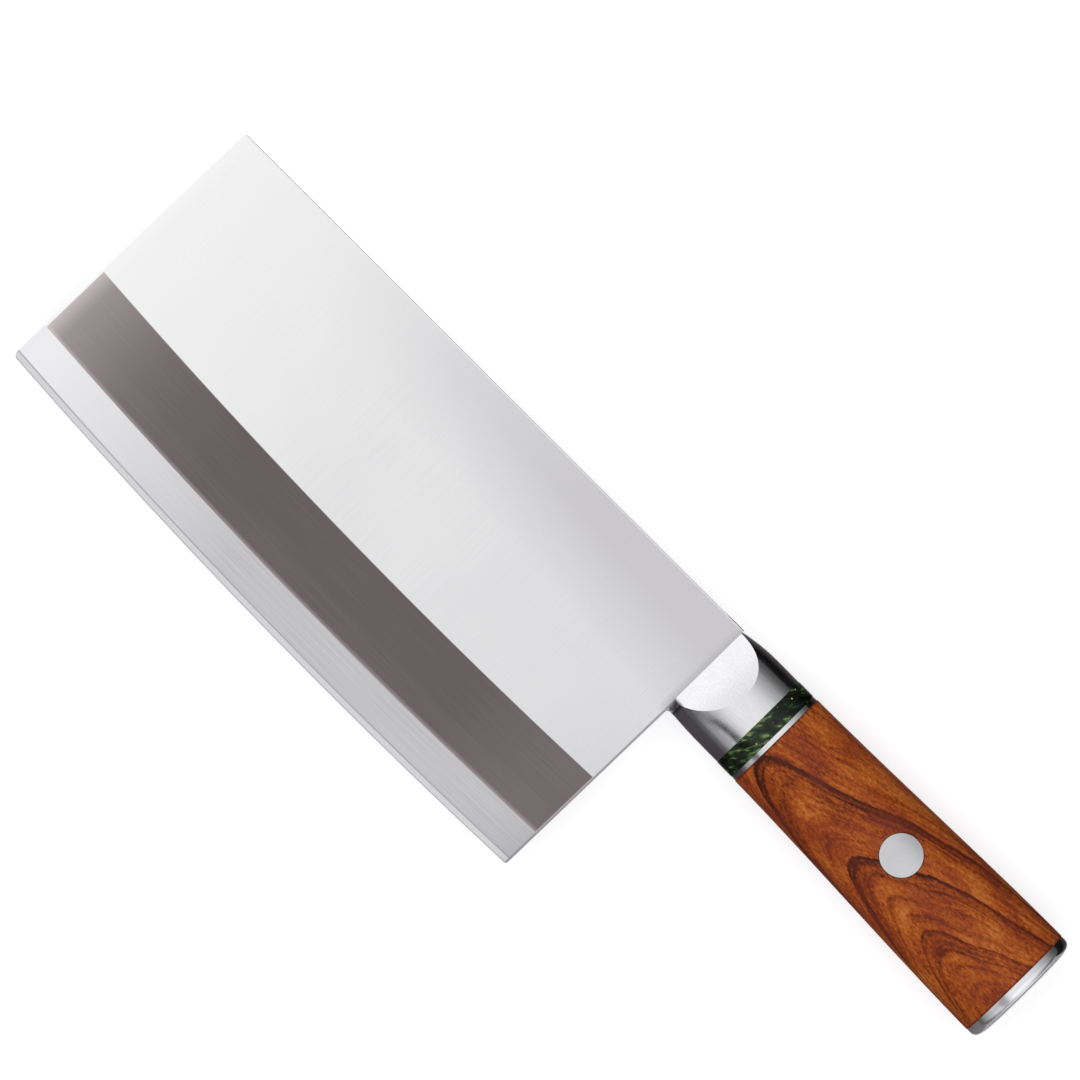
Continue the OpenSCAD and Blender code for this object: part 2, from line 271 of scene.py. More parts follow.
def endShadeLine(material, inside, base, code):  # a line of painted shade along an end of the blade
    near = add(material, "MapRange", [inside, 0.78, 0.52])   # mm
    return add(material, "Mix", {0: near, 6: base, 7: colour(code)}, data_type="RGBA").outputs[2]


def grain(material, place, size, detail, rough=0.6):  # a pattern with its own length in mm along X, Y and Z
    space = add(material, "Mapping", {"Vector": place, "Scale": [1 / length for length in size]})
    noise = add(material, "TexNoise", {"Vector": space, "Scale": 1.0, "Detail": detail, "Roughness": rough})
    return noise.outputs[0]


def beltMarks(material, x, high, size, rough):  # marks of the grinding belt, along the edge
    belt = add(material, "CombineXYZ", [x, high, 0.0])
    return grain(material, belt, size, 3.0, rough)


def cladSteel():
    # Stainless cladding, brushed across the blade: pale fine lines from spine to edge. Its ground
    # bevel, with marks along the edge, is painted dark as a painted reflection, and its eased corners get
    # painted highlights.
    # Painted shade darkens the flat towards the heel, the handle's spine side and the bolster, and a painted
    # highlight makes it paler towards the tip.
    look = {
        "flat": "#f0f0f1", "flatDull": "#e6e6e8", "heelShade": "#dedee0", "shade": "#d3d1d5",
        "bolsterShade": "#c8c8ca", "eased": "#ffffff", "pale": "#ffffff",
        "heelShadeLine": "#aaa6aa", "bevel": "#6e6465", "bevelPale": "#d2c8ca",
        "brush": (0.3, 30.0, 30.0),              # mm, coarser than a real 0.05 mm line, to show
        "belt": (24.0, 0.35, 1.0),
        "flatRough": 0.3, "bevelRough": 0.36,
        # a tone begins and is full at these places, in mm, and grows from 0 to 1 or to the last number
        "heelShadeX": (-80.0, 0.0, 0.0, 0.6),         # painted shade, darker towards the heel
        "shadeX": (-165.0, -50.0), "shadeY": (-17.0, 3.0), "shadeSlant": 0.05,   # towards the handle's top
        "bolsterShadeX": (-2.2, -0.6, 0.0, 0.7), "bolsterShadeY": (-17.0, -15.0),              # painted shade beside the bolster
        "spineHighlight": (0.55, 0.35), "endHighlight": (0.6, 0.9),   # painted highlights on the eased corners, from the spine and the ends
        "tipHighlightX": (-100.0, -190.0, 0.0, 0.85), "tipEndHighlight": (20.0, 1.0),   # painted highlight, paler towards the tip and near its end
        # the dark bevel gets painted highlights and is paler: over this length at the tip, near the heel,
        # low down and over the core
        "glowLong": 60.0,
        "tipGlow": [
            (0.0, 1.0), (0.035, 0.8), (0.07, 0.55), (0.1, 0.42), (0.2, 0.33), (0.28, 0.25),
            (0.37, 0.18), (0.5, 0.1), (0.7, 0.04), (1.0, 0.0)],
        "heelGlow": (40.0, 2.0, 0.0, 0.12), "lowGlow": (19.5, 18.0, 0.0, 0.02),
        "footHigh": 1.2, "footGlow": 0.4, "streaks": (0.25, 0.75, -0.03, 0.04),
        "shoulderSoft": 0.12,                    # half the width of the bevel's upper line
    }
    m = newMaterial("brushed stainless cladding")
    place = knifeSpace(m)
    axes = add(m, "SeparateXYZ", [place])
    x, y = axes.outputs["X"], axes.outputs["Y"]
    high = heightOverEdge(m, place)
    tip = insideLine(m, place, blade["tipFoot"], blade["tipTop"], -1)
    heel = insideLine(m, place, blade["heelFoot"], blade["heelTop"], 1)
    back = insideLine(m, place, blade["tipTop"], blade["spineEnd"], -1)

    # the flat: fine lines of the brush, slow changes of tone, and painted shade and painted highlights over
    # them
    lines = grain(m, place, look["brush"], 3.0)
    spots = add(m, "TexNoise", {"Vector": place, "Scale": 0.025, "Detail": 2.0})
    tone = add(m, "MapRange", [lines, *spread, 0.0, 0.6])
    tone = add(m, "Math", [tone, spots.outputs[0]], operation="ADD")
    flat = add(m, "ValToRGB", {"Fac": tone}, stops=[(0.35, look["flatDull"]), (1.0, look["flat"])])
    # painted shade: the flat gets darker towards the heel
    nearHeel = add(m, "MapRange", [x, *look["heelShadeX"]])
    slant = add(m, "Math", [x, look["shadeSlant"], y], operation="MULTIPLY_ADD")
    nearBack = add(m, "MapRange", [slant, *look["shadeY"]])
    nearHandle = add(m, "MapRange", [x, *look["shadeX"]])
    shade = add(m, "Math", [nearBack, nearHandle], operation="MULTIPLY")
    # painted shade on the blade beside the bolster
    beside = add(m, "MapRange", [x, *look["bolsterShadeX"]])
    above = add(m, "MapRange", [y, *look["bolsterShadeY"]])
    bolsterShade = add(m, "Math", [beside, above], operation="MULTIPLY")
    # a painted highlight along the spine's eased corner
    eased = add(m, "MapRange", [back, *look["spineHighlight"]])
    # a painted highlight: paler towards the tip and near its end
    nearTip = add(m, "MapRange", [x, *look["tipHighlightX"]])
    tipEndHighlight = add(m, "MapRange", [tip, *look["tipEndHighlight"]])
    tipHighlight = add(m, "Math", [nearTip, tipEndHighlight], operation="MAXIMUM")
    # painted shade and painted highlights laid over the flat's tone
    layers = {"heelShade": nearHeel, "shade": shade, "bolsterShade": bolsterShade, "eased": eased, "pale": tipHighlight}
    for code, share in layers.items():
        flat = add(m, "Mix", {0: share, 6: flat, 7: colour(look[code])}, data_type="RGBA").outputs[2]

    # the bevel: painted dark as a painted reflection, with the belt's marks
    marks = beltMarks(m, x, high, look["belt"], 0.65)
    fromTip = add(m, "Math", [tip, look["glowLong"]], operation="DIVIDE")
    tipGlow = add(m, "ValToRGB", {"Fac": fromTip}, stops=look["tipGlow"])
    heelGlow = add(m, "MapRange", [heel, *look["heelGlow"]])
    lowGlow = add(m, "MapRange", [high, *look["lowGlow"]])
    foot = blade["coreHigh"]
    footGlow = add(m, "MapRange", [high, foot + look["footHigh"], foot, 0.0, look["footGlow"]])
    streaks = add(m, "MapRange", [marks, *look["streaks"]])
    glow = add(m, "Math", [tipGlow, heelGlow], operation="MAXIMUM")
    for part in (lowGlow, footGlow, streaks):
        glow = add(m, "Math", [glow, part], operation="ADD")
    bevel = add(m, "ValToRGB", {"Fac": glow}, stops=[(0.0, look["bevel"]), (1.0, look["bevelPale"])])

    # it lies under its shoulder and inside the painted highlights at the corners
    shoulder, soft = blade["bevelHigh"], look["shoulderSoft"]
    under = add(m, "MapRange", [high, shoulder + soft, shoulder - soft])
    ends = add(m, "Math", [tip, heel], operation="MINIMUM")
    inside = add(m, "MapRange", [ends, *look["endHighlight"]])
    dark = add(m, "Math", [under, inside], operation="MULTIPLY")
    base = add(m, "Mix", {0: dark, 6: flat, 7: bevel}, data_type="RGBA").outputs[2]
    # painted shade along the heel
    base = endShadeLine(m, heel, base, look["heelShadeLine"])
    rough = add(m, "MapRange", [lines, *spread, look["flatRough"] - 0.04, look["flatRough"] + 0.05])
    rough = add(m, "Mix", {0: dark, 2: rough, 3: look["bevelRough"]})
    relief = add(m, "Mix", {0: dark, 2: lines, 3: marks})
    bump = add(m, "Bump", {"Height": relief, "Strength": 0.08, "Distance": 0.02 * millimetre})
    return finish(m, add(m, "BsdfPrincipled", {
        "Base Color": base, "Metallic": 1.0, "Roughness": rough, "Normal": bump}))


def coreSteel():
    # High carbon core, satin ground along the edge, with a bright honed bevel, painted shade in a grey line
    # above it and at the very edge, painted shade along the heel and a painted highlight towards the tip.
    look = {
        "strip": "#c2c0c2", "stripPale": "#d2d1d3", "tip": "#f6f5f7", "hone": "#d8d8da", "line": "#a5a4a8",
        "heelShadeLine": "#aaa6aa",
        "belt": (30.0, 0.3, 1.0),              # mm
        "stripRough": 0.3, "honeRough": 0.16,
        "tipHighlightX": (-110.0, -185.0),              # painted highlight, paler towards the tip
        "honeSoft": 0.1,                       # half the width of the honed bevel's upper line
        "lineFade": (0.3, 0.08, 0.0, 0.8),     # the painted shade line above the hone fades over these distances
        "edgeShadeFade": (0.4, 0.15, 0.0, 0.8),     # and the painted shade at the very edge over these heights
    }
    m = newMaterial("ground carbon steel core")
    place = knifeSpace(m)
    high = heightOverEdge(m, place)
    x = add(m, "SeparateXYZ", [place]).outputs["X"]
    marks = beltMarks(m, x, high, look["belt"], 0.6)
    base = add(m, "ValToRGB", {"Fac": marks}, stops=[(0.3, look["strip"]), (0.7, look["stripPale"])])
    # painted highlight towards the tip
    nearTip = add(m, "MapRange", [x, *look["tipHighlightX"]])
    hone, soft = blade["honeHigh"], look["honeSoft"]
    honed = add(m, "MapRange", [high, hone + soft, hone - soft])
    fromLine = add(m, "Math", [high, hone], operation="SUBTRACT")
    fromLine = add(m, "Math", [fromLine], operation="ABSOLUTE")
    # painted shade: a grey line along the hone's upper line, and grey at the very edge
    line = add(m, "MapRange", [fromLine, *look["lineFade"]])
    edgeShade = add(m, "MapRange", [high, *look["edgeShadeFade"]])
    line = add(m, "Math", [line, edgeShade], operation="MAXIMUM")
    for code, share in {"tip": nearTip, "hone": honed, "line": line}.items():
        base = add(m, "Mix", {0: share, 6: base, 7: colour(look[code])}, data_type="RGBA").outputs[2]
    heel = insideLine(m, place, blade["heelFoot"], blade["heelTop"], 1)
    # painted shade along the heel
    base = endShadeLine(m, heel, base, look["heelShadeLine"])
    rough = add(m, "Mix", {0: honed, 2: look["stripRough"], 3: look["honeRough"]})
    bump = add(m, "Bump", {"Height": marks, "Strength": 0.1, "Distance": 0.02 * millimetre})
    return finish(m, add(m, "BsdfPrincipled", {
        "Base Color": base, "Metallic": 1.0, "Roughness": rough, "Normal": bump}))


polished = {   # wheel: size in mm of the lines it leaves; the corner beside the blade: x and y under which painted shade darkens it
    "buffed stainless collar": {
        "dull": "#e2e2e5", "bright": "#ededef", "rough": 0.17, "wheel": (4.0, 0.35, 0.35),
        # painted shade in the collar's corner beside the blade
        "cornerShade": (3.1, -11.4), "cornerShadeSoft": (0.6, 0.4), "cornerShadeColour": "#6a666a"},
    "buffed stainless fittings": {
        "dull": "#e0e0e3", "bright": "#ececee", "rough": 0.16, "wheel": (0.3, 6.0, 6.0)},
    "ground stainless rivet": {
        "dull": "#cdcdcf", "bright": "#d4d4d6", "rough": 0.28, "wheel": (0.25, 3.0, 3.0)},
}


def polishedSteel(name):
    # Stainless steel, buffed or finely ground: bright and nearly a mirror, with a trace of lines from
    # the wheel. The corner between collar and blade is painted dark, as painted shade.
    look = polished[name]
    m = newMaterial(name)
    place = knifeSpace(m)
    lines = grain(m, place, look["wheel"], 3.0)
    cloud = add(m, "TexNoise", {"Vector": place, "Scale": 0.2, "Detail": 2.0})
    base = add(m, "ValToRGB", {"Fac": lines}, stops=[(0.3, look["dull"]), (0.7, look["bright"])])
    # painted shade: the corner between collar and blade is darkened
    if "cornerShade" in look:
        axes = add(m, "SeparateXYZ", [place])
        x, y = look["cornerShade"]
        softX, softY = look["cornerShadeSoft"]
        front = add(m, "MapRange", [axes.outputs["X"], x + softX, x - softX])
        low = add(m, "MapRange", [axes.outputs["Y"], y + softY, y - softY])
        cornerShade = add(m, "Math", [front, low], operation="MULTIPLY")
        base = add(m, "Mix", {0: cornerShade, 6: base, 7: colour(look["cornerShadeColour"])}, data_type="RGBA").outputs[2]
    dull = add(m, "MapRange", [cloud.outputs[0], *spread, look["rough"] * 0.8, look["rough"] * 1.3])
    bump = add(m, "Bump", {"Height": lines, "Strength": 0.06, "Distance": 0.01 * millimetre})
    return finish(m, add(m, "BsdfPrincipled", {
        "Base Color": base, "Metallic": 1.0, "Roughness": dull, "Normal": bump}))


def plainSteel():
    # Steel as rolled and turned, inside the handle: grey and dull, with faint scale.
    m = newMaterial("rolled steel")
    place = knifeSpace(m)
    scale = add(m, "TexNoise", {"Vector": place, "Scale": 0.6, "Detail": 5.0, "Roughness": 0.65})
    shade = add(m, "ValToRGB", {"Fac": scale.outputs[0]}, stops=[(0.3, "#8b8b8f"), (0.7, "#b4b4b8")])
    rough = add(m, "MapRange", [scale.outputs[0], *spread, 0.5, 0.35])
    return finish(m, add(m, "BsdfPrincipled", {
        "Base Color": shade.outputs[0], "Metallic": 1.0, "Roughness": rough}))


def castEpoxy():
    # Filled epoxy, cast round the tang: cloudy amber, with small bubbles.
    m = newMaterial("cast epoxy")
    place = knifeSpace(m)
    cloud = add(m, "TexNoise", {"Vector": place, "Scale": 0.3, "Detail": 3.0})
    bubbles = add(m, "TexVoronoi", {"Vector": place, "Scale": 1.2})
    pit = add(m, "MapRange", [bubbles.outputs["Distance"], 0.0, 0.2])
    shade = add(m, "ValToRGB", {"Fac": cloud.outputs[0]}, stops=[(0.3, "#cdb78a"), (0.7, "#e0cfa5")])
    bump = add(m, "Bump", {"Height": pit, "Strength": 0.3, "Distance": 0.1 * millimetre})
    return finish(m, add(m, "BsdfPrincipled", {
        "Base Color": shade.outputs[0], "Roughness": 0.45, "Normal": bump}))


def greenResin():
    # Dark green resin with swirled pigment and gold flecks, cast and buffed: deep and glossy.
    look = {
        "deep": "#080d08", "mid": "#1b2a1a", "bright": "#3d602b", "pale": "#868c5a", "gold": "#cbb27c",
        "veil": (3.4, 1.3, 3.4),            # mm, size of the bright veils
        "lean": math.radians(-62),          # they lean across the ring
        "fleck": 1.0,                       # mm between places for a fleck
        "bare": 0.88,                       # part of these places without one
        "lowerLiftY": (8.0, -2.0, -0.07, 0.035), "bottomFadeY": (-5.0, -12.0, 0.0, 0.075),
    }
    m = newMaterial("cast green resin")
    place = knifeSpace(m)
    turned = add(m, "Mapping", {"Vector": place, "Rotation": (0, 0, look["lean"])})
    turned = add(m, "Mapping", {"Vector": turned, "Scale": [1 / length for length in look["veil"]]})
    veils = add(m, "TexNoise", {
        "Vector": turned, "Scale": 1.0, "Detail": 2.0, "Roughness": 0.55, "Distortion": 0.6})
    crowd = add(m, "TexNoise", {"Vector": place, "Scale": 0.17, "Detail": 1.0})
    lift = add(m, "MapRange", [crowd.outputs[0], 0.35, 0.65, -0.07, 0.07])
    veils = add(m, "Math", [veils.outputs[0], lift], operation="ADD")
    y = add(m, "SeparateXYZ", [place]).outputs["Y"]   # the veils are fainter at the top, fuller just below the middle and fainter again at the bottom
    lowerLift = add(m, "MapRange", [y, *look["lowerLiftY"]])
    bottomFade = add(m, "MapRange", [y, *look["bottomFadeY"]])
    lowerLift = add(m, "Math", [lowerLift, bottomFade], operation="SUBTRACT")
    veils = add(m, "Math", [veils, lowerLift], operation="ADD")
    veil = add(m, "ValToRGB", {"Fac": veils}, stops=[
        (0.36, look["deep"]), (0.54, look["mid"]), (0.63, look["bright"]), (0.7, look["pale"]),
        (0.74, look["mid"])])
    cells = add(m, "TexVoronoi", {"Vector": place, "Scale": 1 / look["fleck"]})
    near = add(m, "MapRange", [cells.outputs["Distance"], 0.3, 0.18])
    pick = add(m, "SeparateColor", [cells.outputs["Color"]])
    some = add(m, "Math", [pick.outputs[0], look["bare"]], operation="GREATER_THAN")
    gold = add(m, "Math", [near, some], operation="MULTIPLY")
    base = add(m, "Mix", {0: gold, 6: veil, 7: colour(look["gold"])}, data_type="RGBA").outputs[2]
    rough = add(m, "MapRange", [gold, 0.0, 1.0, 0.16, 0.32])
    return finish(m, add(m, "BsdfPrincipled", {
        "Base Color": base, "Roughness": rough, "IOR": 1.5, "Specular IOR Level": 0.3}))


def figuredWood():
    # Reddish brown hardwood, oiled and polished: nested arches of dark growth rings, each abrupt
    # towards the blade and fading towards the butt, with short fine pores along the grain.
    look = {
        "heartY": -7.6, "heartZ": 12.0,      # the arches' middle line, near the front face
        "upSlope": 2.9, "upRound": 5.0,      # the upper arms: slope far out, rounding at the top
        "downCurve": 0.15, "sideCurve": 0.22, "through": 0.7, "middleRound": 2.0,
        "ringGrowth": 374.0, "ringStart": 0.365, "ringPower": 1.5, "ringLast": 2.96, "finePerRing": 4.0,
        "faintX": (66.0, 112.0, 0.0, 0.7), "faintTone": 0.64,   # the last rings are fainter
        # lengths in mm of each pattern along X, Y and Z, pores twice as wide as real ones, to show
        "wander": (40.0, 14.0, 14.0), "fray": (5.0, 0.9, 0.9), "veins": (2.6, 12.0, 12.0),
        "stripes": (30.0, 0.9, 0.9), "mottle": (1.1, 0.6, 0.6), "pores": (1.6, 0.25, 0.25),
        "patches": (17.0, 8.0, 8.0), "patchTurn": (0, 0, 0.3), "patchPlace": (2.4, 0.7, 0),
        "ring": [   # tone through one ring, from its dark side on
            (0.0, 0.06), (0.02, 0.16), (0.045, 0.38), (0.065, 0.26), (0.09, 0.43), (0.15, 0.44),
            (0.28, 0.58), (0.5, 0.7), (0.85, 0.74), (0.975, 0.66), (1.0, 0.06)],
        "tones": [
            (0.0, "#401b12"), (0.2, "#602814"), (0.42, "#873b15"), (0.65, "#a44f1b"), (0.85, "#b56227"),
            (1.0, "#bd7238")],
        "red": "#96402a",
    }
    m = newMaterial("oiled figured hardwood")
    place = knifeSpace(m)
    axes = add(m, "SeparateXYZ", [place])
    x, y, z = [axes.outputs[axis] for axis in "XYZ"]

    # slow wander of the grain, and a little fraying
    wander = grain(m, place, look["wander"], 1.0, 0.4)
    shift = add(m, "MapRange", [wander, *spread, -4.0, 4.0])
    fray = grain(m, place, look["fray"], 2.0, 0.5)
    shake = add(m, "MapRange", [fray, *spread, -0.35, 0.35])

    # place along the arches: x less what the height and the depth take off
    fromHeart = add(m, "Math", [y, look["heartY"]], operation="SUBTRACT")
    up = add(m, "Math", [fromHeart, 0.0], operation="MAXIMUM")
    down = add(m, "Math", [fromHeart, 0.0], operation="MINIMUM")
    upLong = add(m, "Math", [up, up, look["upRound"] ** 2], operation="MULTIPLY_ADD")
    upLong = add(m, "Math", [upLong], operation="SQRT")
    upLong = add(m, "Math", [upLong, look["upRound"]], operation="SUBTRACT")
    upTake = add(m, "Math", [upLong, look["upSlope"]], operation="MULTIPLY")
    downTake = add(m, "Math", [down, down], operation="MULTIPLY")
    taken = add(m, "Math", [downTake, look["downCurve"], upTake], operation="MULTIPLY_ADD")
    depth = add(m, "Math", [z, z, look["middleRound"] ** 2], operation="MULTIPLY_ADD")
    depth = add(m, "Math", [depth], operation="SQRT")
    depth = add(m, "Math", [look["heartZ"], depth], operation="SUBTRACT")
    depth = add(m, "Math", [depth, depth], operation="MULTIPLY")
    taken = add(m, "Math", [depth, look["sideCurve"], taken], operation="MULTIPLY_ADD")
    fromFront = add(m, "Math", [look["heartZ"], z], operation="SUBTRACT")
    taken = add(m, "Math", [fromFront, look["through"], taken], operation="MULTIPLY_ADD")
    arch = add(m, "Math", [x, taken], operation="SUBTRACT")
    arch = add(m, "Math", [arch, shift], operation="ADD")
    arch = add(m, "Math", [arch, shake], operation="ADD")

    # rings that get narrower towards the butt
    ring = add(m, "Math", [arch, 0.0], operation="MAXIMUM")
    ring = add(m, "Math", [ring, look["ringPower"]], operation="POWER")
    ring = add(m, "Math", [ring, 1 / look["ringGrowth"], -look["ringStart"]], operation="MULTIPLY_ADD")
    ring = add(m, "Math", [ring, look["ringLast"]], operation="MINIMUM")
    part = add(m, "Math", [ring], operation="FRACT")
    ringTone = add(m, "ValToRGB", {"Fac": part}, stops=look["ring"])
    fine = add(m, "Math", [ring, look["finePerRing"]], operation="MULTIPLY")
    fine = add(m, "Math", [fine], operation="FRACT")
    fineTone = add(m, "MapRange", [fine, 0.0, 0.5, 0.15, 0.0])
    faint = add(m, "MapRange", [arch, *look["faintX"]])
    ringTone = add(m, "Mix", {0: faint, 2: ringTone, 3: look["faintTone"]})

    # darker veins that follow the rings, strongest near each ring's dark side
    veins = grain(m, add(m, "CombineXYZ", [arch, y, z]), look["veins"], 3.0)
    veinTone = add(m, "MapRange", [veins, 0.54, 0.34, 0.0, 0.32])
    nearRing = add(m, "MapRange", [part, 0.0, 0.4, 1.5, 0.8])
    veinTone = add(m, "Math", [veinTone, nearRing], operation="MULTIPLY")

    # long stripes, a fine mottle and short pores along the grain, soft patches, a little darker towards the
    # blade, and painted shade at both ends
    stripes = grain(m, place, look["stripes"], 3.0)
    stripeTone = add(m, "MapRange", [stripes, *spread, 0.08, -0.08])
    mottle = grain(m, place, look["mottle"], 2.0)
    mottleTone = add(m, "MapRange", [mottle, *spread, 0.2, -0.2])
    pores = grain(m, place, look["pores"], 2.0)
    poreTone = add(m, "MapRange", [pores, 0.48, 0.3, 0.0, 0.35])
    patchSpace = add(m, "Mapping", {
        "Vector": place, "Scale": [1 / length for length in look["patches"]],
        "Rotation": look["patchTurn"], "Location": look["patchPlace"]})
    patches = add(m, "TexNoise", {"Vector": patchSpace, "Scale": 1.0, "Detail": 3.0}).outputs[0]
    patchTone = add(m, "MapRange", [patches, *spread, 0.2, -0.32])
    nearBlade = add(m, "MapRange", [x, woodX, woodX + 45, 0.07, 0.0])
    # painted shade at the joints with the ring and the cap
    fromEnd = add(m, "MapRange", [x, woodX + 0.15, woodX + 0.6, 0.35, 0.0])
    fromButt = add(m, "MapRange", [x, capX - 0.6, capX - 0.15, 0.0, 0.35])
    tone = ringTone
    for layer in (
            fineTone, veinTone, stripeTone, mottleTone, poreTone, patchTone, nearBlade, fromEnd, fromButt):
        tone = add(m, "Math", [tone, layer], operation="SUBTRACT")
    wood = add(m, "ValToRGB", {"Fac": tone}, stops=look["tones"])
    red = add(m, "MapRange", [patches, 0.55, 0.35, 0.0, 0.35])
    base = add(m, "Mix", {0: red, 6: wood, 7: colour(look["red"])}, data_type="RGBA").outputs[2]
    rough = add(m, "MapRange", [stripes, *spread, 0.48, 0.38])
    relief = add(m, "Math", [poreTone, -1.0], operation="MULTIPLY")
    bump = add(m, "Bump", {"Height": relief, "Strength": 0.2, "Distance": 0.05 * millimetre})
    return finish(m, add(m, "BsdfPrincipled", {
        "Base Color": base, "Roughness": rough, "IOR": 1.45, "Specular IOR Level": 0.11, "Normal": bump}))


print("materials")
clad = cladSteel()
core = coreSteel()
collarSteel, fittingSteel, rivetSteel = [polishedSteel(name) for name in polished]
inner = plainSteel()
epoxy = castEpoxy()
resin = greenResin()
wood = figuredWood()

print("kept pieces")
kept = {
    "blade_core": core, "cladding_front": clad, "cladding_back": clad, "tang": inner,
    "bedding": epoxy, "washer": inner, "tang_nut": inner, "cap_dowels": inner,
}
for name, material in kept.items():
    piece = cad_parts[name]
    for slot in piece.material_slots:
        slot.material = material


past = 1.0               # a cutter reaches this far out of the piece it cuts, in mm
tangBar = (13.0, 5.0)    # the tang's height and thickness behind the bolster's wall


def tangSlot(begin, end, high, thick):
    bm = bmesh.new()
    block(bm, begin, end, high + 2 * handle["gap"], thick + 2 * handle["gap"])
    return bm


def roundHole(begin, end, diameter, centre, axis="X"):
    bm = bmesh.new()
    rod(bm, begin, end, diameter / 2 + handle["gap"], centre, axis)
    return bm


def eased(begin, end, steps, ease):  # stations with a small chamfer at both ends
    rings = [section(begin, ease), section(begin + ease)]
    inside = end - begin - 2 * ease
    rings += [section(begin + ease + inside * i / steps) for i in range(1, steps + 1)]
    return rings + [section(end, ease)]


def makeBolster():
    size = {
        "scoopThick": 11.0, "scoopRadius": 90.0, "scoopAngle": 21.0, "scoopTilt": 4.3,
        "scoopHigh": 80.0, "scoopSides": 720, "wall": 3.0, "tongue": (11.0, 1.8), "ease": 0.12, "steps": 9,
    }
    nose = handle["noseRound"]
    rings = [section(nose * (1 - math.cos(math.radians(a)))) for a in range(0, 91, 9)]
    body = resinX - size["ease"] - nose
    rings += [section(nose + body * i / size["steps"]) for i in range(1, size["steps"] + 1)]
    rings.append(section(resinX, size["ease"]))
    piece = toObject(loft(rings, handle["around"]), "bolster_collar")
    lean = math.radians(size["scoopAngle"])
    cutters = []
    for side in (1, -1):
        scoop = bmesh.new()
        middle = size["scoopThick"] / 2 + size["scoopRadius"] * math.cos(lean)
        place = Matrix.Translation((-size["scoopRadius"] * math.sin(lean), 0, side * middle))
        tilt = Matrix.Rotation(-side * math.radians(size["scoopTilt"]), 4, "X")
        across = Matrix.Rotation(math.pi / 2, 4, "X")
        bmesh.ops.create_cone(
            scoop, cap_ends=True, segments=size["scoopSides"], radius1=size["scoopRadius"],
            radius2=size["scoopRadius"], depth=size["scoopHigh"], matrix=tilt @ place @ across)
        cutters.append(scoop)
    cutters.append(tangSlot(-past, size["wall"] + past, *size["tongue"]))
    cutters.append(tangSlot(size["wall"], resinX + past, *tangBar))
    cutAway(piece, cutters)
    dress(piece, collarSteel, "bolster_steel", "bolster", sharp=11)


def makeRing(name, node, begin, end, material, slot):
    piece = toObject(loft(eased(begin, end, 3, 0.1), handle["around"]), name)
    cutAway(piece, [tangSlot(begin - past, end + past, *tangBar)])
    dress(piece, material, slot, node)


def makeWood():
    size = {
        "steps": 46, "ease": 0.12, "bedding": (15.0, 7.0), "stud": 6.0, "recess": 15.0,
        "tube": 7.0, "head": 12.3, "seat": 2.6, "dowel": 2.0, "dowelDeep": 6.05, "dowelY": 11.0,
    }
    slotEnd = along("bedding", 1)
    recessX = along("washer", 0)
    tangY = handle["tangHigh"]
    piece = toObject(loft(eased(woodX, capX, size["steps"], size["ease"]), handle["around"]), "wood_body")
    seatZ = halfWide(handle["rivetX"]) - size["seat"]
    at = (handle["rivetX"], tangY)
    slot = bmesh.new()
    block(slot, woodX - past, slotEnd, *size["bedding"])
    cutters = [
        slot,
        roundHole(slotEnd - past, capX + past, size["stud"], (tangY, 0)),
        roundHole(recessX, capX + 2 * past, size["recess"] - 2 * handle["gap"], (tangY, 0)),
        roundHole(-seatZ - past, seatZ + past, size["tube"], at, "Z"),
        roundHole(seatZ, seatZ + 9 * past, size["head"], at, "Z"),
        roundHole(-seatZ - 9 * past, -seatZ, size["head"], at, "Z"),
    ]
    for side in (1, -1):
        y = tangY + side * size["dowelY"]
        cutters.append(roundHole(capX - size["dowelDeep"], capX + past, size["dowel"], (y, 0)))
    cutAway(piece, cutters)
    dress(piece, wood, "handle_wood", "wood_handle")


def rivetRing(radius, side, height=None, cut=0.0):  # without a height it follows the wood, less the cut
    tangY = handle["tangHigh"]

    def point(angle):
        x = handle["rivetX"] + radius * math.cos(angle)
        y = tangY + radius * math.sin(angle)
        z = skinHeight(x, y) - cut if height is None else height
        return Vector((x, y, side * z))
    return point


def makeRivet():
    size = {
        "head": 12.3, "seat": 2.6, "ease": 0.16, "shank": 2.0, "tube": 3.5, "bore": 2.05, "around": 96,
        "face": (0.3, 1.5, 3.0, 4.5),   # radii of rings over the head
    }
    head = size["head"] / 2
    seatZ = halfWide(handle["rivetX"]) - size["seat"]
    halves = {   # the side of the head, then radius and height of each ring under it
        "pin": (1, [(head, seatZ), (size["shank"], seatZ), (size["shank"], -seatZ)]),
        "tube": (-1, [
            (head, seatZ), (size["tube"], seatZ), (size["tube"], -seatZ),
            (size["bore"], -seatZ), (size["bore"], seatZ + handle["gap"])]),
    }
    for name, (side, steps) in halves.items():
        rings = [rivetRing(radius, side) for radius in (*size["face"], head - size["ease"])]
        rings.append(rivetRing(head, side, cut=size["ease"]))
        rings += [rivetRing(radius, side, height) for radius, height in steps]
        piece = toObject(loft(rings, size["around"]), f"rivet_{name}_head")
        dress(piece, rivetSteel, "rivet_steel", "rivet_" + name)


